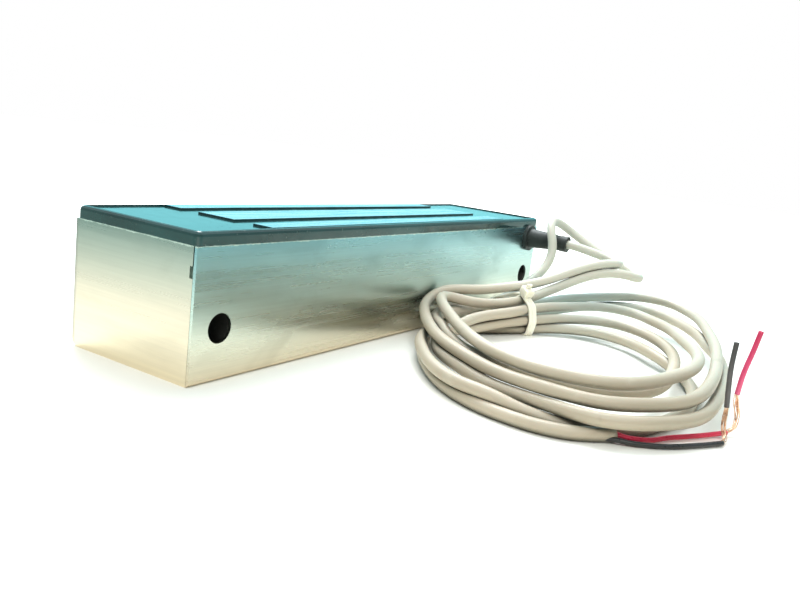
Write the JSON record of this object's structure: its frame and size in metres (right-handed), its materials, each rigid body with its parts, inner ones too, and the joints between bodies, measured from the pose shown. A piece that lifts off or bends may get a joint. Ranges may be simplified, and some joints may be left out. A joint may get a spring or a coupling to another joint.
{
  "type": "magnetic door lock",
  "caption": "Potted electromagnet door lock in a folded steel housing, with flush pole faces, bolt holes through its ends and a coiled two-wire cable.",
  "frame": {"origin": "centre of the magnet unit's footprint, on the surface it stands on (its base, opposite the pole faces)", "axes": "+X along the magnet unit towards the cable end, +Z out of the pole faces, -Y out of the long side that carries the cable outlet"},
  "size_m": [0.2336, 0.1815, 0.0465],
  "materials": {
    "stainless_sheet": "brushed stainless sheet, grain along the unit",
    "electrical_steel": "ground pole faces of stacked laminations",
    "zinc_steel": "plain zinc plated steel",
    "resin": "gloss black potting resin with a blue-green cast",
    "pressboard": "pressed insulating board",
    "bobbin_plastic": "moulded nylon",
    "enamelled_copper": "enamelled copper wire, wound",
    "tape": "polyester winding tape",
    "board": "glass epoxy board",
    "component_blue": "dipped epoxy",
    "component_black": "moulded epoxy",
    "tinned_brass": "tinned pins",
    "sleeve_yellow": "insulating sleeving",
    "sleeve_green": "insulating sleeving",
    "boot_rubber": "soft black moulding",
    "cable_sheath": "light warm grey PVC sheath",
    "tie_nylon": "natural white nylon",
    "wire_red": "red PVC insulation",
    "wire_black": "black PVC insulation",
    "bare_copper": "bright stranded copper"
  },
  "bodies": {
    "root": {"housing_channel": "stainless_sheet", "end_plate_left": "stainless_sheet", "end_plate_right": "stainless_sheet", "potting_resin": "resin", "lamination_stack": "electrical_steel", "core_rivets": "zinc_steel", "core_spacers": "pressboard", "bobbin": "bobbin_plastic", "coil_winding": "enamelled_copper", "winding_tape": "tape", "mounting_sleeves": "zinc_steel", "circuit_board": "board", "surge_varistor": "component_blue", "clamp_diode": "component_black", "terminal_pins": "tinned_brass", "coil_lead_start": "sleeve_yellow", "coil_lead_finish": "sleeve_green", "supply_lead_red": "wire_red", "supply_lead_black": "wire_black", "strain_relief_boot": "boot_rubber", "inner_cable_tie": "tie_nylon", "cable_inner_end": "cable_sheath", "cable_lead": "cable_sheath", "cable_standing_loop": "cable_sheath", "cable_coil": "cable_sheath", "cable_tie": "tie_nylon", "conductor_red": "wire_red", "conductor_black": "wire_black", "bare_strands": "bare_copper", "insulation_slug_red": "wire_red", "insulation_slug_black": "wire_black"}
  },
  "joints": []
}
